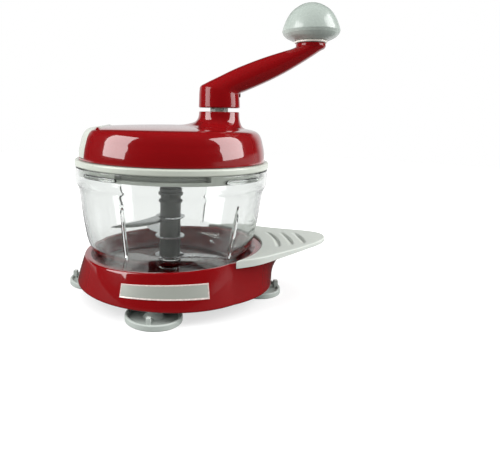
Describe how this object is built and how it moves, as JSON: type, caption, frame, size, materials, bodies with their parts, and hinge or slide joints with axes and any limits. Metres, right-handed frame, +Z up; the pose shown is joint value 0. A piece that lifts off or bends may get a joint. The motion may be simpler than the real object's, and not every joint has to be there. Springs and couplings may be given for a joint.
{
  "type": "hand cranked food chopper",
  "caption": "Hand cranked food chopper: clear bowl with blades on a red base with suction feet and a side grip, geared red lid with a crank arm, palm knob and flip-up fill door.",
  "frame": {"origin": "on the floor, under the middle of the whole outline, which runs from the left foot to the knob", "axes": "+Z up along the bowl's axis, +X from the bowl towards the crank knob and the grip, +Y away from the name plate"},
  "size_m": [0.2454, 0.1762, 0.2665],
  "materials": {
    "red_plastic": "gloss red moulded plastic",
    "grey_plastic": "satin light grey moulded plastic",
    "knob_plastic": "semi-gloss light grey moulded plastic",
    "pad_rubber": "soft light grey rubber",
    "foot_rubber": "soft grey rubber",
    "dark_plastic": "satin dark grey plastic",
    "white_plastic": "satin white acetal",
    "clear_plastic": "clear moulded plastic",
    "plate_metal": "satin grey plate with a pale edge",
    "blade_steel": "ground stainless steel",
    "steel": "zinc plated steel",
    "black_steel": "black oxide steel"
  },
  "bodies": {
    "base": {"base_shell": "red_plastic", "base_plate": "dark_plastic", "grip_pad": "pad_rubber", "name_plate": "plate_metal", "foot_right": "foot_rubber", "foot_back": "foot_rubber", "foot_left": "foot_rubber", "foot_front": "foot_rubber", "base_screw_1": "steel", "base_screw_2": "steel", "base_screw_3": "steel", "base_screw_4": "steel"},
    "bowl": {"bowl": "clear_plastic", "bowl_pin": "steel"},
    "blades": {"blade_post": "dark_plastic", "blade_low": "blade_steel", "blade_middle": "blade_steel", "blade_high": "blade_steel"},
    "lid": {"lid_base": "grey_plastic", "lid_shell": "red_plastic", "tower_bush": "white_plastic", "door_pin": "steel", "lid_screw_1": "steel", "lid_screw_2": "steel", "lid_screw_3": "steel", "lid_screw_4": "steel"},
    "door": {"fill_door": "grey_plastic"},
    "drive": {"drive_pinion": "white_plastic", "drive_coupling": "dark_plastic", "drive_clip": "steel"},
    "crank": {"crank_gear": "white_plastic", "crank_spindle": "grey_plastic", "crank_arm": "red_plastic", "crank_set_screw": "black_steel", "knob_axle": "steel", "knob_washer": "white_plastic"},
    "knob": {"knob": "knob_plastic"}
  },
  "joints": [
    {"name": "bowl_lift", "type": "slide", "parent": "base", "child": "bowl", "axis": [0, 0, 1], "range_m": [0, 0.1]},
    {"name": "blade_spin", "type": "hinge", "parent": "bowl", "child": "blades", "pos_m": [-0.02913, 0, 0.06], "axis": [0, 0, 1], "continuous": true},
    {"name": "lid_lift", "type": "slide", "parent": "bowl", "child": "lid", "axis": [0, 0, 1], "range_m": [0, 0.12]},
    {"name": "door_flip", "type": "hinge", "parent": "lid", "child": "door", "pos_m": [-0.09113, 0, 0.1474], "axis": [0, 1, 0], "range_deg": [0, 95]},
    {"name": "crank_turn", "type": "hinge", "parent": "lid", "child": "crank", "pos_m": [0.01387, 0, 0.165], "axis": [0, 0, 1], "continuous": true},
    {"name": "drive_spin", "type": "hinge", "parent": "lid", "child": "drive", "pos_m": [-0.02913, 0, 0.12], "axis": [0, 0, 1], "continuous": true},
    {"name": "knob_spin", "type": "hinge", "parent": "crank", "child": "knob", "pos_m": [0.09687, 0, 0.245], "axis": [0, 0, 1], "continuous": true}
  ],
  "couplings": [
    {"joint": "drive_spin", "follows": "crank_turn", "ratio": -2},
    {"joint": "blade_spin", "follows": "crank_turn", "ratio": -2}
  ]
}
